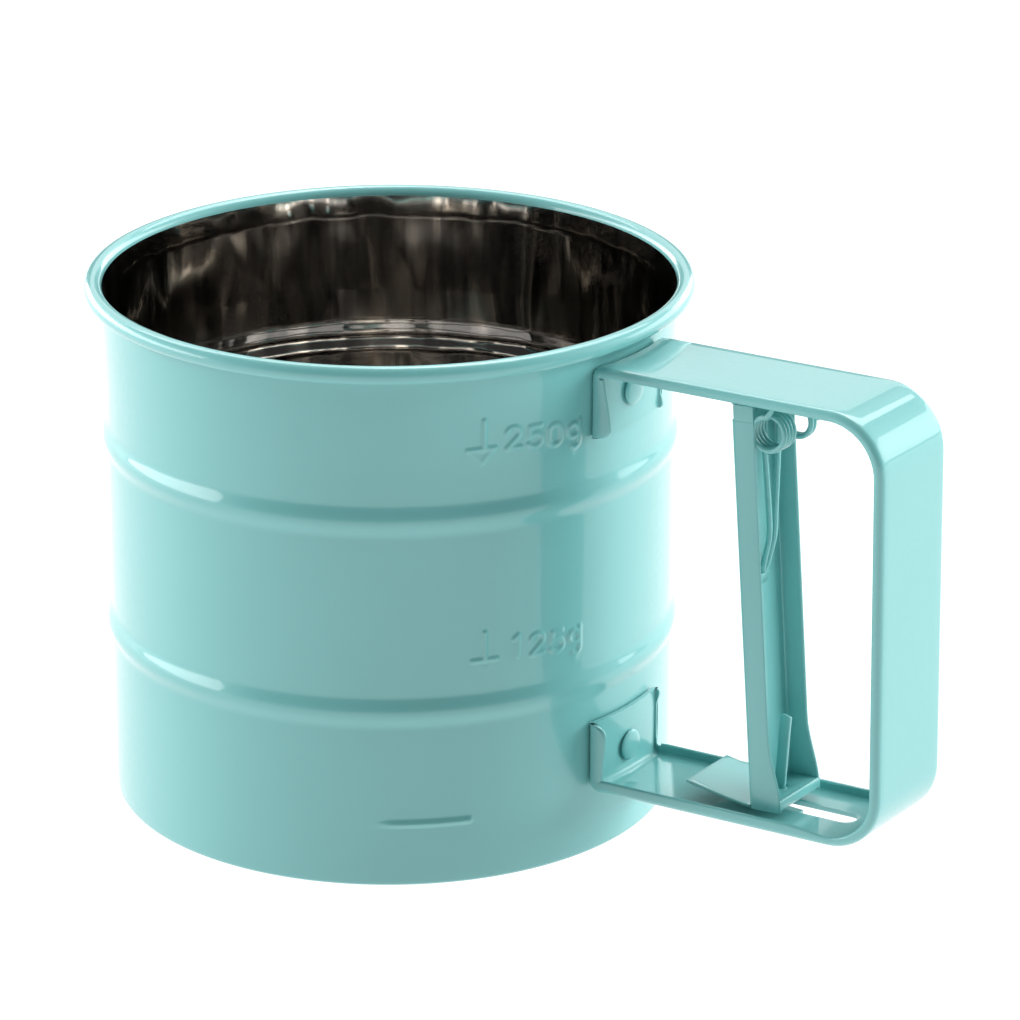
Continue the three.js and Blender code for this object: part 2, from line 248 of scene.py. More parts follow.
def material(name):
    """A new material, its node tree and its shader."""
    mat = bpy.data.materials.new(name)
    mat.use_nodes = True
    tree = mat.node_tree
    return mat, tree, tree.nodes["Principled BSDF"]


def node(tree, kind, **values):
    """A new node, with values for its settings or, where it has no such setting, its sockets."""
    made = tree.nodes.new(kind)
    for key, value in values.items():
        if hasattr(made, key):
            setattr(made, key, value)
        else:
            made.inputs[key.replace("_", " ")].default_value = value
    return made


def noise(tree, scale, detail=2.0, roughness=0.5, stretch=(1, 1, 1)):
    """Noise in the object's own space. A small stretch makes it long in that direction."""
    coords = node(tree, "ShaderNodeTexCoord")
    mapping = node(tree, "ShaderNodeMapping")
    mapping.inputs["Scale"].default_value = stretch
    texture = node(tree, "ShaderNodeTexNoise", Scale=scale, Detail=detail, Roughness=roughness)
    tree.links.new(coords.outputs["Object"], mapping.inputs["Vector"])
    tree.links.new(mapping.outputs["Vector"], texture.inputs["Vector"])
    return texture


def bump(tree, shader, textures):
    """Bumps one on another, each a (height output, strength, distance in metres)."""
    last = None
    for height, strength, distance in textures:
        made = node(tree, "ShaderNodeBump", Strength=strength, Distance=distance)
        tree.links.new(height, made.inputs["Height"])
        if last:
            tree.links.new(last.outputs["Normal"], made.inputs["Normal"])
        last = made
    tree.links.new(last.outputs["Normal"], shader.inputs["Normal"])
    return last


def spread(tree, source, low, high, start=0.3, end=0.7):
    """Maps a texture's values from start..end to low..high."""
    made = node(tree, "ShaderNodeMapRange")
    for key, value in (("From Min", start), ("From Max", end), ("To Min", low), ("To Max", high)):
        made.inputs[key].default_value = value
    tree.links.new(source, made.inputs["Value"])
    return made.outputs["Result"]


# Where a Mix node keeps its factor, and the sockets that it uses for colours.
MIX_FACTOR = 0
MIX_FIRST = 6
MIX_SECOND = 7
MIX_RESULT = 2


def colour_mix(tree, factor, first):
    """A mix of colours by a factor. Its second colour is still to be set or linked."""
    made = node(tree, "ShaderNodeMix", data_type="RGBA")
    tree.links.new(factor, made.inputs[MIX_FACTOR])
    made.inputs[MIX_FIRST].default_value = (*first, 1)
    return made


def enamel(name, colour, deeper):
    """Glossy paint under a clear coat, faintly clouded and uneven."""
    mat, tree, shader = material(name)
    cloud = noise(tree, 45, 3)
    mix = colour_mix(tree, spread(tree, cloud.outputs["Fac"], 0.0, 1.0), colour)
    mix.inputs[MIX_SECOND].default_value = (*deeper, 1)
    tree.links.new(mix.outputs[MIX_RESULT], shader.inputs["Base Color"])
    grain = noise(tree, 900, 2)
    tree.links.new(spread(tree, grain.outputs["Fac"], 0.32, 0.40), shader.inputs["Roughness"])
    peel = noise(tree, 160, 1)
    normal = bump(tree, shader, [(peel.outputs["Fac"], 0.02, 0.0001)])
    tree.links.new(normal.outputs["Normal"], shader.inputs["Coat Normal"])
    shader.inputs["Specular IOR Level"].default_value = 0.45
    shader.inputs["Coat Weight"].default_value = 1.0
    shader.inputs["Coat Roughness"].default_value = 0.04
    shader.inputs["Coat IOR"].default_value = 1.42
    return mat


ROLLED_SHADE = 0.86
# Colour of the steel's painted dark reflections: darker streaks mixed into its own colour.
DARK_STREAK_COLOUR = (0.30, 0.288, 0.272)


def metal(name, colour, rough, stretch, waves=0.0):
    """Bare metal with rolling lines. waves makes it swell gently and adds painted dark reflections in
    streaks.
    """
    mat, tree, shader = material(name)
    lines = noise(tree, 900, 3, 0.6, stretch)
    mix = colour_mix(tree, spread(tree, lines.outputs["Fac"], 0.0, 1.0), colour)
    mix.inputs[MIX_SECOND].default_value = (*[c * ROLLED_SHADE for c in colour], 1)
    layers = [(lines.outputs["Fac"], 0.05, 0.0001)]
    shade = mix.outputs[MIX_RESULT]
    if waves:
        swell = noise(tree, 70, 1.5, 0.5, (1, 1, 0.3))
        layers.insert(0, (swell.outputs["Fac"], waves, 0.004))
        # Painted dark reflections: darker patches, long up the wall, mixed into the steel's colour.
        dark_streaks = noise(tree, 90, 2.5, 0.6, (1, 1, 0.32))
        painted_reflection = colour_mix(tree, spread(tree, dark_streaks.outputs["Fac"], 0.0, 1.0, 0.47, 0.66), DARK_STREAK_COLOUR)
        tree.links.new(shade, painted_reflection.inputs[MIX_SECOND])
        shade = painted_reflection.outputs[MIX_RESULT]
    tree.links.new(shade, shader.inputs["Base Color"])
    tree.links.new(spread(tree, lines.outputs["Fac"], rough * 0.8, rough * 1.25), shader.inputs["Roughness"])
    shader.inputs["Metallic"].default_value = 1.0
    bump(tree, shader, layers)
    return mat


PAINT = enamel("enamel_mint", (0.190, 0.522, 0.518), (0.182, 0.508, 0.503))
MIRROR = metal("bare_steel", (0.86, 0.80, 0.72), 0.1, (1, 1, 0.03), waves=0.6)
BRIGHT = metal("bright_steel", (0.63, 0.62, 0.60), 0.16, (1, 1, 1))
WIRE = metal("mesh_wire", (0.60, 0.60, 0.59), 0.24, (1, 1, 1))
ZINC = metal("zinc_plate", (0.50, 0.52, 0.53), 0.34, (1, 1, 1))

# ---------------------------------------------------------------- cup

# Strokes of each figure and letter, in millimetres across and up, before they are scaled.
GLYPHS = {
    "1": [[(0.9, 4.6), (1.9, 5.7), (1.9, 0)]],
    "2": [arc(1.6, 4.1, 1.55, 170, -25, 8) + [(0.1, 0.05), (3.2, 0.05)]],
    "5": [[(3.0, 5.65), (0.5, 5.65), (0.35, 3.1)] + arc(1.6, 1.85, 1.75, 130, -150, 10)],
    "0": [arc(1.6, 4.15, 1.5, 180, 0, 7) + arc(1.6, 1.5, 1.5, 0, -180, 7) + [(0.1, 4.15)]],
    "g": [arc(1.5, 3.6, 1.45, 0, 360, 12), [(3.05, 5.6), (3.05, 0.9)] + arc(1.75, 0.95, 1.3, 0, -130, 6)],
}
MARKS = (
    {"text": "250g", "from": -31.0, "base": 78.5, "wide": 0.95, "bar": -35.5, "bar_z": (84.1, 79.2),
     "line": (-38.9, -33.2), "line_z": 79.0, "tip_z": 76.5, "tip": 1.0},
    {"text": "125g", "from": -30.1, "base": 40.8, "wide": 0.93, "bar": -35.4, "bar_z": (45.9, 41.2),
     "line": (-38.0, -32.9), "line_z": 40.9, "tip_z": 39.0, "tip": 0.35},
)
GLYPH_WIDE = 0.86
GLYPH_STEP = 4.25
GLYPH_TALL = {"g": 0.8}
DIGIT_TALL = 0.66
DESCENT = {"g": 0.6}
TEXT_FALL = 0.43
STROKE_HALF = 0.13
STROKE_EDGE = 0.5
LINE_STRENGTH = 0.9
TIP_STRENGTH = 0.6
TIP_INSET = 0.4
MARK_RISE = 0.28
POCKETS = (-46.9, 73.1, 193.1)
POCKET_Z = 11.65
POCKET_HALF = 8.2
POCKET_RISE = 0.5
POCKET_EDGE = 0.9
SLIT_TURN = (4.7, 13.06)
SLIT_Z = (8.1, 9.9)


def along(degrees):
    """How far round the wall a turn is."""
    return math.radians(degrees) * CUP_R


def mark_strokes():
    """Every stroke of the measure marks: (u, v) points along the wall and up it, and its strength."""
    strokes = []
    for mark in MARKS:
        u = along(mark["from"])
        for n, glyph in enumerate(mark["text"]):
            wide, tall = GLYPH_WIDE * mark["wide"], GLYPH_TALL.get(glyph, DIGIT_TALL)
            base = mark["base"] - TEXT_FALL * n - DESCENT.get(glyph, 0)
            for line in GLYPHS[glyph]:
                strokes.append(([(u + x * wide, base + y * tall) for x, y in line], 1.0))
            u += GLYPH_STEP * mark["wide"]
        bar = along(mark["bar"])
        strokes.append(([(bar, z) for z in mark["bar_z"]], 1.0))
        left, right = [along(a) for a in mark["line"]]
        middle = (left + right) / 2
        strokes.append(([(left, mark["line_z"]), (right, mark["line_z"])], LINE_STRENGTH))
        tip = [
            (left + TIP_INSET, mark["line_z"]), (middle, mark["tip_z"]), (right - TIP_INSET, mark["line_z"]),
        ]
        strokes.append((tip, TIP_STRENGTH * mark["tip"]))
    return strokes


def distance_to(u, v, a, b):
    """How far points (u, v) are from the line between a and b."""
    du, dv = b[0] - a[0], b[1] - a[1]
    t = np.clip(((u - a[0]) * du + (v - a[1]) * dv) / max(du * du + dv * dv, 1e-9), 0, 1)
    return np.hypot(u - a[0] - t * du, v - a[1] - t * dv)


def raised(distance, half, edge):
    """1 within half of a line, falling smoothly to 0 over edge."""
    t = np.clip((half + edge - distance) / edge, 0, 1)
    return t * t * (3 - 2 * t)


def wall_rise(theta, z):
    """How far the wall stands out at turns theta (degrees) and heights z: beads, marks and pockets."""
    rise = np.zeros(np.broadcast(theta, z).shape)
    for bead in BEAD_Z:
        step = np.clip((z - bead) / BEAD_HALF, -1, 1)
        rise = rise + BEAD_RISE * np.cos(step * math.pi / 2) ** 2
    rise = rise + FLARE * np.clip((z - FLARE_Z) / FLARE_OVER, 0, 1)
    u = np.radians(theta) * CUP_R
    near = np.zeros_like(rise)
    for line, strength in mark_strokes():
        for a, b in zip(line, line[1:]):
            d = distance_to(u, z, a, b)
            near = np.maximum(near, strength * raised(d, STROKE_HALF, STROKE_EDGE))
    rise = rise + MARK_RISE * near
    for turn in POCKETS:
        side = (theta - turn + 180) % 360 - 180
        end = math.radians(POCKET_HALF) * CUP_R
        d = distance_to(np.radians(side) * CUP_R, z, (-end, POCKET_Z), (end, POCKET_Z))
        rise = rise + POCKET_RISE * raised(d, 0.0, POCKET_EDGE)
    return rise


def spaced(stops):
    """Numbers from (start, end, step) runs, each run meeting the next."""
    found = []
    for start, end, step in stops:
        count = max(1, round((end - start) / step))
        found.extend(start + (end - start) * i / count for i in range(count))
    return found + [stops[-1][1]]


# Heights and turns of the wall's points, close together at beads, marks and pockets.
WALL_ROWS = spaced([
    (0.7, 8.1, 1.9), (8.1, 9.9, 0.9), (9.9, 13.6, 0.31), (13.6, 28.6, 5.0), (28.6, 35.8, 0.45),
    (35.8, 38.2, 1.2), (38.2, 47.2, 0.26), (47.2, 63.3, 5.4), (63.3, 70.5, 0.45), (70.5, 75.7, 1.7),
    (75.7, 85.3, 0.26), (85.3, 91.3, 2.0),
])
WALL_TURNS = spaced([
    (-40.6, -12.0, 0.29), (-12.0, 4.7, 1.4), (4.7, 13.06, 1.4), (13.06, 319.4, 1.5),
])[:-1]


def shell_rows(turns, heights):
    """Rings of radii and heights from the lip up the outside, over the rim and down the inside.

    Also the number of the first ring of the wall outside, and of the first one inside."""
    wall = CUP_R + wall_rise(turns[None, :], heights[:, None])

    def ring(r, z):
        return np.full(len(turns), r), np.full(len(turns), z)

    rows = [ring(LIP_R, LIP_EDGE), ring(LIP_R + LIP_ROUND, 0)]
    rows += [ring(r, z) for r, z in arc(CUP_R - BASE_BEND, BASE_BEND, BASE_BEND, -90, 0, 5)[:-1]]
    first = len(rows)
    rows += [(wall[i], np.full(len(turns), z)) for i, z in enumerate(heights)]
    rows += [ring(r, z) for r, z in arc(CURL_X, CURL_Z, CURL_R - CURL_SHEET, 175, -110, 14)]
    rows += [ring(r, z) for r, z in arc(CURL_X, CURL_Z, CURL_R, -113, 180, 24)]
    inside = len(rows)
    rows += [(wall[i] - WALL, np.full(len(turns), z)) for i, z in reversed(list(enumerate(heights)))]
    rows += [
        ring(CUP_R - WALL - 0.25, WALL + 0.08), ring(LIP_R + LIP_ROUND, WALL), ring(LIP_R, WALL - LIP_EDGE),
    ]
    return rows, first, inside


def in_slit(turn, height):
    """Whether a wall face that starts at this turn and height is in the pull strip's slit."""
    return (SLIT_TURN[0] - 0.01 < turn < SLIT_TURN[1] - 0.01
            and SLIT_Z[0] - 0.01 < height < SLIT_Z[1] - 0.01)


def cup_shell():
    turns = np.array(WALL_TURNS)
    heights = np.array(WALL_ROWS)
    rows, first, inside = shell_rows(turns, heights)
    last = inside + len(heights) - 1
    angle = np.radians(turns)
    points = [
        (r[j] * math.cos(angle[j]), r[j] * math.sin(angle[j]), z[j])
        for r, z in rows for j in range(len(turns))
    ]
    bm = bmesh.new()
    verts = [bm.verts.new(p) for p in place(points)]
    n, m = len(rows), len(turns)
    for row in range(n):
        k = row - first if row < inside else last - row - 1
        on_wall = 0 <= k < len(heights) - 1
        for col in range(m):
            if on_wall and in_slit(turns[col], heights[k]):
                continue
            below, right = (row + 1) % n, (col + 1) % m
            face = bm.faces.new([verts[row * m + col], verts[row * m + right],
                                 verts[below * m + right], verts[below * m + col]])
            face.material_index = 0 if row < inside - 1 else 1
    open_edges = [e for e in bm.edges if len(e.link_faces) == 1]
    bmesh.ops.bridge_loops(bm, edges=open_edges)
    attach(from_bm("cup_shell", bm, [PAINT, MIRROR], 60), "cup", "cup_body")


cup_shell()

# ---------------------------------------------------------------- sieve and agitator

ring_low, ring_high = cad_box("screen_ring")
mesh_low, mesh_high = cad_box("mesh_screen")
RING_OUT = ring_high[0]
RING_IN = RING_OUT - 3.0
GROOVE_HALF = 0.5
MESH_Z = (mesh_low[2] + mesh_high[2]) / 2
MESH_R = mesh_high[0]
MESH_PITCH = 1.5
MESH_WIRE = 0.2
MESH_WAVE = 0.95


def screen_ring():
    z0, z1 = ring_low[2], ring_high[2]
    profile = [
        *arc(RING_OUT - 0.5, z0 + 0.5, 0.5, -90, 0, 4), *arc(RING_OUT - 0.5, z1 - 0.5, 0.5, 0, 90, 4),
        *arc(RING_IN + 0.45, z1 - 0.45, 0.45, 90, 180, 4),
        (RING_IN, MESH_Z + 0.75), (RING_IN + 0.25, MESH_Z + GROOVE_HALF),
        (RING_OUT - 1.2, MESH_Z + GROOVE_HALF), (RING_OUT - 1.2, MESH_Z - GROOVE_HALF),
        (RING_IN + 0.25, MESH_Z - GROOVE_HALF), (RING_IN, MESH_Z - 0.7),
        *arc(RING_IN + 0.2, z0 + 0.2, 0.2, 180, 270, 2),
    ]
    lathe("crimped_ring", profile, 160, BRIGHT, "cup", "screen_ring")


def woven_mesh():
    """Two sets of wires that pass over and under each other."""
    bm = bmesh.new()
    reach = int(MESH_R / MESH_PITCH)
    for axis in (0, 1):
        for i in range(-reach, reach + 1):
            across = i * MESH_PITCH
            half = math.sqrt(max(MESH_R ** 2 - across ** 2, 0.0))
            count = int(half / MESH_PITCH)
            if count < 2:
                continue
            points = []
            stations = range(-count, count + 1)
            for j in stations:
                up = MESH_WIRE * (1 if (i + j + axis) % 2 else -1)
                for k in range(4):
                    a = math.pi / 4 + k * math.pi / 2
                    side, rise = MESH_WIRE * math.cos(a), MESH_WIRE * math.sin(a)
                    p = (j * MESH_PITCH, across + side, MESH_Z + up * MESH_WAVE + rise)
                    points.append(p if axis == 0 else (p[1], p[0], p[2]))
            faces = grid_faces(len(stations), 4, close_cols=True)
            end = (len(stations) - 1) * 4
            add_to(bm, points, faces + [(3, 2, 1, 0), (end, end + 1, end + 2, end + 3)])
    attach(unwelded("woven_screen", bm, [WIRE], 120), "cup", "mesh_screen")


def rounded_copy(name, cad, finish, body, offset):
    """A copy of a CAD node with its edges rounded."""
    mesh = frame["nodes"][cad].data.copy()
    mesh.name = name
    mesh.materials.clear()
    bm = bmesh.new()
    bm.from_mesh(mesh)
    bmesh.ops.remove_doubles(bm, verts=bm.verts, dist=1e-6)
    flat = math.radians(2)
    bmesh.ops.dissolve_limit(bm, angle_limit=flat, verts=bm.verts, edges=bm.edges)
    bevel(bm, bm.faces[:], offset, least=25)
    for face in bm.faces:
        face.material_index = 0
    bm.to_mesh(mesh)
    bm.free()
    finish_mesh(mesh, 35)
    attach(new_object(name, mesh, [finish]), body, cad)


screen_ring()
woven_mesh()
rounded_copy("agitator_blades", "agitator_plate", BRIGHT, "agitator", 0.18)
rounded_copy("spider_bridge", "retaining_spider", BRIGHT, "cup", 0.18)

# Turned pieces, from the boxes of their CAD nodes.


def height_of(cad):
    low, high = cad_box(cad)
    return high[2] - low[2]


def washer(name, cad, bore, body, finish, lying=False):
    """A flat ring with rounded rims. lying: its axis runs along X."""
    low, high = cad_box(cad)
    thick = high[0] - low[0] if lying else high[2] - low[2]
    r = (high[2] - low[2]) / 2 if lying else (high[0] - low[0]) / 2
    e = min(0.14, thick / 3)
    profile = [
        (bore + e, 0), (r - e, 0), (r - e * 0.3, e * 0.3), (r, e), (r, thick - e),
        (r - e * 0.3, thick - e * 0.3), (r - e, thick), (bore + e, thick), (bore, thick - e), (bore, e),
    ]
    cx, cy, cz = (low[0] + high[0]) / 2, (low[1] + high[1]) / 2, (low[2] + high[2]) / 2
    if lying:
        turn = lambda x, y, z: (low[0] + z, y + cy, x + cz)
    else:
        turn = lambda x, y, z: (x + cx, y + cy, z + low[2])
    lathe(name, profile, 48, finish, body, cad, turn)


def axle(name, cad, profile, body, finish):
    """A turned piece on a vertical axis: profile heights count from the CAD node's underside."""
    low, high = cad_box(cad)
    cx, cy = (low[0] + high[0]) / 2, (low[1] + high[1]) / 2
    turn = lambda x, y, z: (x + cx, y + cy, z + low[2])
    lathe(name, profile, 40, finish, body, cad, turn)


washer("centre_washer", "pivot_washer", 2.3, "cup", ZINC)
washer("centre_spacer", "pivot_spacer", 2.3, "cup", ZINC)
washer("crank_washer", "drive_pin_washer", 1.8, "agitator", ZINC)
washer("upper_backing_washer", "upper_rivet_washer", 1.9, "cup", BRIGHT, lying=True)
washer("lower_backing_washer", "lower_rivet_washer", 1.9, "cup", BRIGHT, lying=True)

# A turned profile starts and ends this far from its axis, so that it has no coincident points.
NEAR_AXIS = 0.001
pivot_high = height_of("pivot_rivet")
axle("centre_rivet", "pivot_rivet", [
    (NEAR_AXIS, 0), (3.8, 0), (4, 0.2), (4, 0.62), (3.9, 0.7), (2, 0.7), (2, pivot_high - 1.05),
    (3.85, pivot_high - 1.05), (4, pivot_high - 0.9), (3.75, pivot_high - 0.6), (3.0, pivot_high - 0.3),
    (1.6, pivot_high - 0.06), (NEAR_AXIS, pivot_high),
], "cup", ZINC)
crank_high = height_of("drive_pin")
axle("crank_pin", "drive_pin", [
    (NEAR_AXIS, 0), (2.6, 0), (2.8, 0.18), (2.8, 0.6), (1.5, 0.6), (1.5, 2.0), (2.8, 2.0), (2.8, 4.9),
    (1.5, 4.9), (1.5, crank_high - 0.35), (2.3, crank_high - 0.35), (1.95, crank_high - 0.1),
    (0.9, crank_high - 0.01), (NEAR_AXIS, crank_high),
], "agitator", ZINC)


RIVET_R = 2.75
RIVET_HEAD = 0.75
HEAD_EDGE = 0.12


def tab_rivet(name, cad):
    """A rivet along X, with a low dome outside and a closing head inside."""
    low, high = cad_box(cad)
    long = high[0] - low[0]
    z = (low[2] + high[2]) / 2
    under = long - 1.1
    dome = []
    for a in range(0, 90, 11):
        rise = (RIVET_HEAD - HEAD_EDGE) * math.sin(math.radians(a))
        dome.append((RIVET_R * math.cos(math.radians(a)), under + HEAD_EDGE + rise))
    profile = [(NEAR_AXIS, 0), (2.4, 0), (2.6, 0.2), (2.6, 0.7), (1.6, 0.7), (1.6, under), (2.7, under),
               *dome, (NEAR_AXIS, under + RIVET_HEAD)]
    turn = lambda x, y, h: (low[0] + h, y, z + x)
    lathe(name, profile, 48, PAINT, "cup", cad, turn, 70)


tab_rivet("upper_rivet", "upper_tab_rivet")
tab_rivet("lower_rivet", "lower_tab_rivet")

# ---------------------------------------------------------------- folded channels


def fold_line(half, bend, base, near, far, across, corner=5):
    """One face of a U-shaped section: (y, depth) pairs from its near edge to its far one."""
    line = [(-half, near)]
    for a in [math.pi + math.pi / 2 * k / corner for k in range(corner + 1)]:
        line.append((-half + bend + bend * math.cos(a), base + bend + bend * math.sin(a)))
    line += [(-half + bend + (2 * half - 2 * bend) * k / across, base) for k in range(1, across)]
    for a in [1.5 * math.pi + math.pi / 2 * k / corner for k in range(corner + 1)]:
        line.append((half - bend + bend * math.cos(a), base + bend + bend * math.sin(a)))
    return line + [(half, far)]


def channel_section(half, near, far, sheet, bend, across=14):
    """The outer and inner lines of a U-shaped section, and its rounded far and near tips."""
    near_edge, far_edge = near - sheet / 2, far - sheet / 2
    outer = fold_line(half, bend, 0.0, near_edge, far_edge, across)
    inner = fold_line(half - sheet, max(bend - sheet, 0.15), sheet, near_edge, far_edge, across)
    near_tip = [(-half + sheet / 2 - sheet / 2 * math.cos(a), near - sheet / 2 + sheet / 2 * math.sin(a))
                for a in [math.pi * k / 4 for k in (3, 2, 1)]]
    far_tip = [(half - sheet / 2 + sheet / 2 * math.cos(a), far - sheet / 2 + sheet / 2 * math.sin(a))
               for a in [math.pi * k / 4 for k in (1, 2, 3)]]
    return outer, far_tip, inner, near_tip


def channel(bm, stations):
    """A folded channel through stations: (x, z, (nx, nz), section, shift(y))."""
    part = bmesh.new()
    points = []
    for x, z, (nx, nz), (outer, far_tip, inner, near_tip), shift in stations:
        loop = outer + far_tip + inner[::-1] + near_tip
        points += [(x + nx * d + shift(y), y, z + nz * d) for y, d in loop]
    outer, far_tip, _, near_tip = stations[0][3]
    n = len(outer)
    loop = 2 * n + len(far_tip) + len(near_tip)
    faces = grid_faces(len(stations), loop, close_cols=True)
    for k, turned_over in ((0, False), (len(stations) - 1, True)):
        base = k * loop
        back = base + n + len(far_tip) + n - 1
        caps = [(base + i, base + i + 1, back - i - 1, back - i) for i in range(n - 1)]
        caps.append(tuple(base + n - 1 + i for i in range(len(far_tip) + 2)))
        tips = [base + 2 * n + len(far_tip) - 1 + i for i in range(len(near_tip) + 1)]
        caps.append((*tips, base))
        faces += [c[::-1] if turned_over else c for c in caps]
    add_to(part, points, faces)
    bmesh.ops.recalc_face_normals(part, faces=part.faces)
    merge_into(bm, part)


# ---------------------------------------------------------------- handle

HANDLE_HALF = (handle_high[1] - handle_low[1]) / 2
SHEET = 0.8
TOP_FLANGE = 1.85
LOW_FLANGE = 2.5
BEND = 1.15
TAB_R = CUP_R + 0.3
TAB_BEND = 2.2
TOP_LINE = ((50.3, 90.2), (106.6, 91.8))
LOW_LINE = ((50.3, 12.0), (107.8, 14.5))
CORNER = 10.5
TAB_TOP_Z = 77.3
TAB_LOW_Z = 24.8
SLOT_X = (79.5, 97.2)
SLOT_Y = (-1.4, 3.0)
SLOT_CUT_Z = (9, 20)
# How far along a tab its points are, from its free end to its bend.
TAB_STEPS = (0, 0.03, 0.08, 0.16, 0.26, 0.38, 0.5, 0.62, 0.74, 0.86, 1)
CORNER_STEPS = 12
TAB_BEND_STEPS = 6
# Along a tab and its bend that measure runs to 2. The arms and the bar have this one.
PAST_TAB = 3
TAB_FLARE = {"top": 2.3, "low": 1.1}
TAB_THIN = {"top": 1.0, "low": 1.1}
TAB_TIP = 0.8


def line_z(line, x):
    """The height at X of an arm's outer face."""
    (x0, z0), (x1, z1) = line
    return z0 + (z1 - z0) * (x - x0) / (x1 - x0)


def bar_x(z):
    """X at a height of the back bar's outer face."""
    (top_x, top_z), (low_x, low_z) = TOP_LINE[1], LOW_LINE[1]
    return low_x + (top_x - low_x) * (z - low_z) / (top_z - low_z)


def ease(t):
    t = min(max(t, 0.0), 1.0)
    return t * t * (3 - 2 * t)


def on_bend(cx, cz, r, degrees):
    """X and Z of a point on a bend of the outer face, and its inward normal."""
    a = math.radians(degrees)
    return cx + r * math.cos(a), cz + r * math.sin(a), (-math.cos(a), -math.sin(a))


def handle_path():
    """(x, z, inward normal, how far along the end tab, which end) down the outer face of the handle."""
    path = []
    tab_x = TAB_R + TAB_BEND
    cz = line_z(TOP_LINE, TAB_R) - TAB_BEND
    for t in TAB_STEPS:
        path.append((TAB_R, TAB_TOP_Z + (cz - TAB_TOP_Z) * t, (1, 0), t, "top"))
    for k in range(1, TAB_BEND_STEPS + 1):
        path.append((*on_bend(tab_x, cz, TAB_BEND, 180 - 15 * k), 1 + k / TAB_BEND_STEPS, "top"))
    for x in (54, 57, 61, 66, 74, 84, 91):
        path.append((x, line_z(TOP_LINE, x), (0.028, -1), PAST_TAB, "top"))
    cx = bar_x(81.3) - CORNER
    cz = line_z(TOP_LINE, cx) - CORNER
    for k in range(CORNER_STEPS + 1):
        path.append((*on_bend(cx, cz, CORNER, 88 - 87 * k / CORNER_STEPS), PAST_TAB, "bar"))
    for z in (74, 64, 52, 40, 30):
        path.append((bar_x(z), z, (-1, -0.015), PAST_TAB, "bar"))
    cx = bar_x(25) - CORNER
    cz = line_z(LOW_LINE, cx) + CORNER
    for k in range(CORNER_STEPS + 1):
        path.append((*on_bend(cx, cz, CORNER, -1 - 87 * k / CORNER_STEPS), PAST_TAB, "bar"))
    for x in (91, 84, 76, 68, 61, 57, 54):
        path.append((x, line_z(LOW_LINE, x), (-0.043, 1), PAST_TAB, "low"))
    cz = line_z(LOW_LINE, TAB_R) + TAB_BEND
    for k in range(TAB_BEND_STEPS, 0, -1):
        path.append((*on_bend(tab_x, cz, TAB_BEND, 180 + 15 * k), 1 + k / TAB_BEND_STEPS, "low"))
    for t in reversed(TAB_STEPS):
        path.append((TAB_R, TAB_LOW_Z - (TAB_LOW_Z - cz) * t, (1, 0), t, "low"))
    return path


def flange_depths(t, end):
    """The near and far flanges. Along a tab, t runs from its free end (0) to its bend (1 to 2)."""
    full = LOW_FLANGE if end == "low" else TOP_FLANGE
    if t == PAST_TAB:
        return full, LOW_FLANGE if end == "bar" else full
    near = full + TAB_FLARE[end] * (1 - ease(t / 1.6))
    near = SHEET + (near - SHEET) * math.sqrt(min(1.0, t / 0.12))
    thin = TAB_THIN[end]
    tip = TAB_TIP * ease((0.35 - t) / 0.35) * ease(t / 0.06 + 0.2)
    far = thin + tip + (full - thin) * ease((t - 0.55) / 1.4)
    return near, min(far, full)


def tab_shift(t, x):
    """Tabs follow the cup's curve. The arms straighten out over their first few millimetres."""
    share = 1 - ease((x - 53) / 10) if t == PAST_TAB else 1.0
    return lambda y: share * (math.sqrt(TAB_R ** 2 - y ** 2) - TAB_R)


def handle():
    bm = bmesh.new()
    stations = []
    for x, z, normal, t, end in handle_path():
        near, far = flange_depths(t, end)
        section = channel_section(HANDLE_HALF, near, far, SHEET, BEND)
        stations.append((x, z, normal, section, tab_shift(t, x)))
    channel(bm, stations)
    obj = from_bm("handle_channel", bm, [PAINT], 50)
    cut_slot(obj)
    attach(obj, "cup", "handle_frame")


def cut_slot(obj):
    """Cuts the slot in the lower arm that the pull strip's tongue stands in."""
    cutter = bmesh.new()
    r = (SLOT_Y[1] - SLOT_Y[0]) / 2
    y = (SLOT_Y[1] + SLOT_Y[0]) / 2
    outline = arc(SLOT_X[0] + r, y, r, 90, 270, 12) + arc(SLOT_X[1] - r, y, r, -90, 90, 12)
    slab(cutter, outline, *SLOT_CUT_Z, "z", 0)
    tool = from_bm("slot_tool", cutter, [PAINT])
    cut = obj.modifiers.new("slot", "BOOLEAN")
    cut.object = tool
    cut.solver = "EXACT"
    bpy.context.view_layer.update()
    mesh = bpy.data.meshes.new_from_object(obj.evaluated_get(bpy.context.evaluated_depsgraph_get()))
    obj.modifiers.clear()
    obj.data = mesh
    bpy.data.objects.remove(tool)
    finish_mesh(mesh, 50)


handle()

# ---------------------------------------------------------------- trigger

LEVER_TILT = math.radians(4.2)
LEVER_HALF = 6.6
LEVER_SHEET = 0.6
LEVER_BACK = -1.6
LEVER_FOOT = -72.2
SHELF_Z = -70.0
LEVER_DEPTH = 4.55
FOOT_DEPTH = 6.4
LEVER_STATIONS = (
    -2.8, -3.4, -8, -18, -29, -40, -50, -56, -58.5, -60.5, -62.5, -64, -65.5, -67, -68.5, -70, -71.4, -72.2,
)
# Plates that lie on the channel's own sheet start this far inside it.
INSET = 0.05
FLAP_REACH = 12.6
FLAP_SAG = 0.28
FLAP_LIFT = math.tan(math.radians(11))


def tilted(x, y, z):
    """From the lever's own frame, hanging straight down from its pivot, to its rest tilt."""
    c, s = math.cos(LEVER_TILT), math.sin(LEVER_TILT)
    return PIVOT[0] + x * c - z * s, y, PIVOT[2] + x * s + z * c


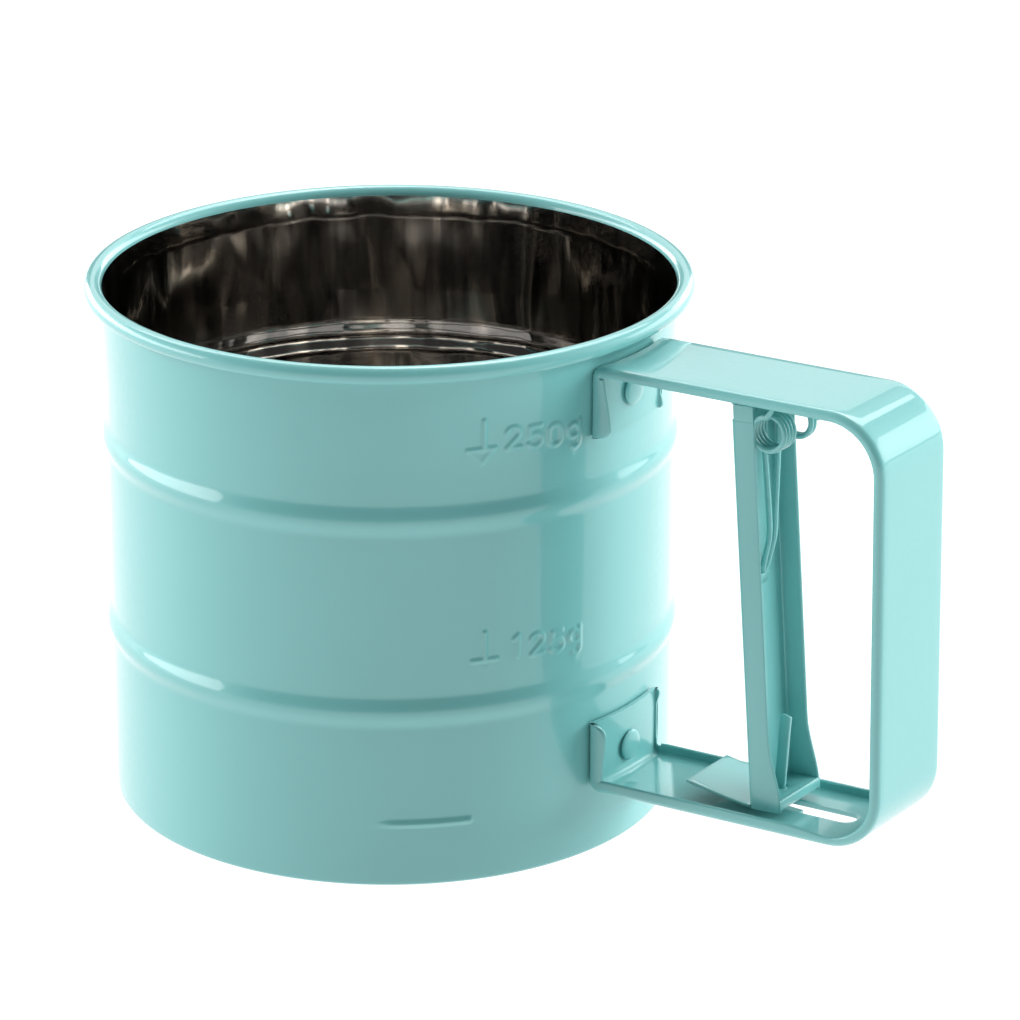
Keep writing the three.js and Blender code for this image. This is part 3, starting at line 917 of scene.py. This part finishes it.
def lever():
    bm = bmesh.new()
    stations = []
    inward = (math.cos(LEVER_TILT), math.sin(LEVER_TILT))
    for z in LEVER_STATIONS:
        depth = LEVER_DEPTH + (FOOT_DEPTH - LEVER_DEPTH) * ease((-59 - z) / 12)
        section = channel_section(LEVER_HALF, depth, depth, LEVER_SHEET, 1.0, 10)
        x0, _, z0 = tilted(LEVER_BACK, 0, z)
        stations.append((x0, z0, inward, section, lambda y: 0.0))
    channel(bm, stations)
    ears(bm)
    foot(bm)
    flap(bm)
    knuckle(bm)
    hook_strap(bm)
    attach(from_bm("squeeze_lever", bm, [PAINT], 50), "trigger", "trigger_lever")


def ears(bm):
    """The two sides' upper ends, which the hinge pin goes through."""
    front = LEVER_DEPTH + LEVER_BACK - INSET
    outline = rounded([(LEVER_BACK + 0.6, -4.5), (front, -4.5), (front, 0.15), (LEVER_BACK + 0.6, 0.05)],
                      [0, 0, 0.4, 0.4])
    for side in (-1, 1):
        y = sorted((side * (LEVER_HALF - INSET), side * (LEVER_HALF - LEVER_SHEET + INSET)))
        slab(bm, outline, *y, "y", 0.12, tilted)


def foot(bm):
    """The shelf across the lower end, notched for the pull strip's tongue, and its front lip."""
    front = LEVER_BACK + FOOT_DEPTH
    side = LEVER_HALF - 0.3
    shelf = [
        (LEVER_BACK + 0.3, -side), (front, -side), (front, side), (LEVER_BACK + 0.3, side),
        (LEVER_BACK + 0.3, 1.3), (1.0, 1.3), *arc(1.0, 0, 1.3, 75, -75, 6)[1:-1],
        (1.0, -1.3), (LEVER_BACK + 0.3, -1.3),
    ]
    slab(bm, shelf, SHELF_Z - 0.6, SHELF_Z, "z", 0.2, tilted)
    lip = rounded([(front - 0.6, LEVER_FOOT + 0.5), (front, LEVER_FOOT + 0.4), (front + 0.05, SHELF_Z),
                   (front - 0.6, SHELF_Z)], [0.15, 0.15, 0.25, 0.1], 2)
    slab(bm, lip, -LEVER_HALF + 0.15, LEVER_HALF - 0.15, "y", 0, tilted)


def flap(bm):
    """A thin plate from the foot towards the cup, slightly dished."""
    part = bmesh.new()
    cols, rows = 12, 8
    top, under = [], []
    for i in range(cols + 1):
        u = i / cols
        for j in range(rows + 1):
            v = -1 + 2 * j / rows
            sag = FLAP_SAG * (1 - v * v) * math.sin(math.pi * min(1, 0.15 + u * 0.85))
            rise = FLAP_LIFT * FLAP_REACH * (u ** 1.15)
            x = LEVER_BACK + 0.3 - (FLAP_REACH + 0.3) * u
            z = LEVER_FOOT + LEVER_SHEET + rise - sag
            y = v * (LEVER_HALF - INSET)
            top.append(tilted(x, y, z))
            under.append(tilted(x, y, z - LEVER_SHEET))
    n = (cols + 1) * (rows + 1)
    faces = grid_faces(cols + 1, rows + 1)
    faces += [tuple(n + k for k in f[::-1]) for f in faces]
    rim = [i * (rows + 1) for i in range(cols + 1)] + [cols * (rows + 1) + j for j in range(1, rows + 1)]
    rim += [i * (rows + 1) + rows for i in range(cols - 1, -1, -1)] + list(range(rows - 1, 0, -1))
    faces += [(a, b, n + b, n + a) for a, b in zip(rim, rim[1:] + rim[:1])]
    add_to(part, top + under, faces)
    bevel(part, part.faces[:], 0.2, 2, 50)
    merge_into(bm, part)


def knuckle(bm):
    """The web's upper end, curled round the hinge pin."""
    outer = arc(0, 0, 1.6, 180, -50, 14)
    inner = arc(0, 0, 1.1, -50, 180, 14)
    outline = [(LEVER_BACK, -4.2), *outer, *inner, (LEVER_BACK + 0.5, -4.2)]
    slab(bm, outline, -4.5, 4.5, "y", 0.1, tilted)


def hook_strap(bm):
    """A lanced strip in the web that the spring's leg hooks under."""
    x = LEVER_BACK + LEVER_SHEET
    outline = [
        (x - 0.2, -33.6), (x + 0.05, -33.6), (x + 0.5, -32.4), (x + 0.75, -31.6), (x + 0.5, -31.2),
        (x - 0.2, -32.2),
    ]
    slab(bm, outline, -1.5, 1.5, "y", 0.1, tilted)


lever()
rounded_copy("pull_strap", "pull_strip", PAINT, "strip", 0.2)
rounded_copy("pivot_bracket", "hinge_bracket", PAINT, "cup", 0.15)


def pivot_pin():
    low, high = cad_box("hinge_pin")
    long, r = high[1] - low[1], (high[0] - low[0]) / 2
    x, z = (low[0] + high[0]) / 2, (low[2] + high[2]) / 2
    profile = [(NEAR_AXIS, 0), (r - 0.2, 0), (r, 0.2), (r, long - 0.2), (r - 0.2, long), (NEAR_AXIS, long)]
    turn = lambda a, b, h: (x + a, low[1] + h, z + b)
    lathe("pivot_pin", profile, 32, ZINC, "cup", "hinge_pin", turn)


pivot_pin()

# ---------------------------------------------------------------- spring

WIRE_R = 0.5
COIL_R = 3.0
COIL_X = 81.8
COIL_Z = 83.3
COIL_PITCH = 0.96
COIL_STEPS = 36
# How far a coil starts from the middle, and its turns.
NEAR_COIL = (1.9, 4.25)
FAR_COIL = (2.7, 2.5)
# Down each leg: X, Z, and how far the near and far legs stand from the middle.
LEG = (
    (78.85, 79.8, 1.9, 2.7), (79.05, 76, 1.6, 2.2), (79.35, 71, 1.25, 1.5), (79.62, 66.5, 1.05, 0.9),
    (79.74, 64.3, 1.0, 0.72), (79.6, 62.4, 1.0, 0.66), (79.1, 60.2, 0.95, 0.62), (78.45, 57.6, 0.8, 0.6),
)
HOOK = (78.0, 56.3)
ARM_END = (COIL_X + 1.5, 89.2)
ARM_BEND_Z = 87.4


def coil_points(side, inner, turns):
    """A coil of the spring, from its inner end outward."""
    points = []
    for i in range(round(COIL_STEPS * turns) + 1):
        a = math.pi - i / COIL_STEPS * 2 * math.pi
        y = side * (inner + i / COIL_STEPS * COIL_PITCH)
        points.append(Vector((COIL_X + COIL_R * math.cos(a), y, COIL_Z + COIL_R * math.sin(a))))
    return points


def spring_line():
    """Points down the wire: arm, coil, leg, hook, leg, coil, arm."""

    def half(side, coil):
        points = coil_points(side, *coil)
        last = points[-1]
        leg = [Vector((x, side * (near if side < 0 else far), z)) for x, z, near, far in LEG]
        blend = points[0].lerp(leg[0], 0.5)
        arm = [
            Vector(((last.x + COIL_X + 1.5) / 2, last.y, ARM_BEND_Z)),
            Vector((ARM_END[0], last.y, ARM_END[1])),
        ]
        return leg[::-1] + [blend] + points + arm

    near, far = half(-1, NEAR_COIL), half(1, FAR_COIL)
    hook = [Vector((HOOK[0] + 0.08, y, HOOK[1] + 0.12)) for y in (-0.45, 0.45)]
    hook.insert(1, Vector((HOOK[0], 0, HOOK[1])))
    return near[::-1] + hook + far


def tube(bm, line, radius, sides=10):
    """A round wire along a line of points, turned as little as possible along it, with tapered ends."""
    befores, afters = [line[0], *line[:-1]], [*line[1:], line[-1]]
    tangents = [(after - before).normalized() for before, after in zip(befores, afters)]
    normal = tangents[0].orthogonal().normalized()
    points = []
    for i, (p, t) in enumerate(zip(line, tangents)):
        normal = (normal - t * normal.dot(t)).normalized()
        side = t.cross(normal)
        tight = 0.6 if i in (0, len(line) - 1) else 1.0
        for k in range(sides):
            a = 2 * math.pi * k / sides
            points.append(tuple(p + (normal * math.cos(a) + side * math.sin(a)) * radius * tight))
    n = len(line)
    faces = grid_faces(n, sides, close_cols=True)
    faces += [tuple(range(sides))[::-1], tuple((n - 1) * sides + k for k in range(sides))]
    add_to(bm, points, faces)


def spring():
    bm = bmesh.new()
    tube(bm, spring_line(), WIRE_R)
    obj = unwelded("torsion_spring", bm, [PAINT], 80)
    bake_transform(obj)
    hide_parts("return_spring")


spring()

# ---------------------------------------------------------------- stage, light and camera

# The camera's angles in radians, and how far it stands to the right, up and back, in millimetres.
PITCH = 0.3593
ROLL = 0.0011
TURN = 0.6087
LENS = 170.47
SENSOR = 36.0
STANDS = (21.107, 47.262, 878.78)


def camera():
    right = Vector((math.cos(TURN), math.sin(TURN), 0))
    up = Vector((-math.sin(TURN) * math.sin(PITCH), math.cos(TURN) * math.sin(PITCH), math.cos(PITCH)))
    forward = Vector((-math.sin(TURN) * math.cos(PITCH), math.cos(TURN) * math.cos(PITCH), -math.sin(PITCH)))
    data = bpy.data.cameras.new("camera")
    data.lens = LENS
    data.sensor_width = SENSOR
    data.clip_start = 0.01
    data.clip_end = 50
    obj = bpy.data.objects.new("camera", data)
    where = STANDS[0] * right + STANDS[1] * up - STANDS[2] * forward
    level = Matrix((right, up, -forward)).transposed()
    turned = level @ Matrix.Rotation(ROLL, 3, "Z")
    obj.matrix_world = Matrix.Translation(Vector(place([where])[0])) @ turned.to_4x4()
    bpy.context.scene.collection.objects.link(obj)
    bpy.context.scene.camera = obj


FLOOR_HALF = 4.0
FLOOR_GREY = 0.17
FLOOR_GLOW = 1.02
FLOOR_DROP = 0.0002
LIGHT_AIM_Z = 0.05


def floor():
    """A plain white floor that gives off light of its own, so that shadows on it stay faint."""
    mesh = bpy.data.meshes.new("floor")
    corners = [(-1, -1), (1, -1), (1, 1), (-1, 1)]
    mesh.from_pydata([(x * FLOOR_HALF, y * FLOOR_HALF, 0) for x, y in corners], [], [(0, 1, 2, 3)])
    mat, _, shader = material("floor_white")
    shader.inputs["Base Color"].default_value = (FLOOR_GREY, FLOOR_GREY, FLOOR_GREY, 1)
    shader.inputs["Roughness"].default_value = 0.9
    shader.inputs["Specular IOR Level"].default_value = 0.0
    shader.inputs["Emission Color"].default_value = (1, 1, 1, 1)
    shader.inputs["Emission Strength"].default_value = FLOOR_GLOW
    obj = new_object("floor", mesh, [mat])
    obj.location.z = -FLOOR_DROP


def softbox(name, azimuth, elevation, across, tall, strength, kind="both", distance=2.0):
    """A rectangular light that faces the object, given by the angles that it spans, in degrees.

    Azimuth counts from the camera's side, right positive. A soft light doesn't show in reflections, and a
    shine shows only in them. distance is in metres."""
    data = bpy.data.lights.new(name, "AREA")
    data.shape = "RECTANGLE"
    data.size = 2 * distance * math.tan(math.radians(across / 2))
    data.size_y = 2 * distance * math.tan(math.radians(tall / 2))
    data.energy = strength * data.size * data.size_y * math.pi
    obj = bpy.data.objects.new(name, data)
    a = TURN - math.pi / 2 + math.radians(azimuth)
    e = math.radians(elevation)
    away = Vector((math.cos(a) * math.cos(e), math.sin(a) * math.cos(e), math.sin(e)))
    obj.location = away * distance + Vector((AXIS_X, 0, LIGHT_AIM_Z))
    obj.rotation_euler = away.to_track_quat("Z", "Y").to_euler()
    obj.visible_camera = False
    obj.visible_glossy = kind != "soft"
    obj.visible_diffuse = kind != "shine"
    bpy.context.scene.collection.objects.link(obj)


def world(strength):
    made = bpy.data.worlds.new("studio")
    made.use_nodes = True
    background = made.node_tree.nodes["Background"]
    background.inputs["Color"].default_value = (1, 1, 1, 1)
    background.inputs["Strength"].default_value = strength
    bpy.context.scene.world = made


camera()
floor()
world(0.08)
softbox("left_soft", -105, 20, 50, 36, 6.2, "soft")
softbox("right_soft", 104, 22, 56, 36, 6.6, "soft")
softbox("top_soft", 180, 80, 60, 60, 1.7, "soft")
softbox("top_shine", 150, 66, 30, 16, 6.0, "shine")
softbox("left_shine", -112, 11, 86, 21, 5.0, "shine")
softbox("right_shine", 130, 14, 60, 24, 3.0, "shine")
softbox("back_shine", 180, 54, 70, 24, 4.0, "shine")
softbox("far_shine", -165, 31, 110, 20, 1.15, "shine", 0.5)
bpy.context.scene.view_settings.view_transform = "Standard"
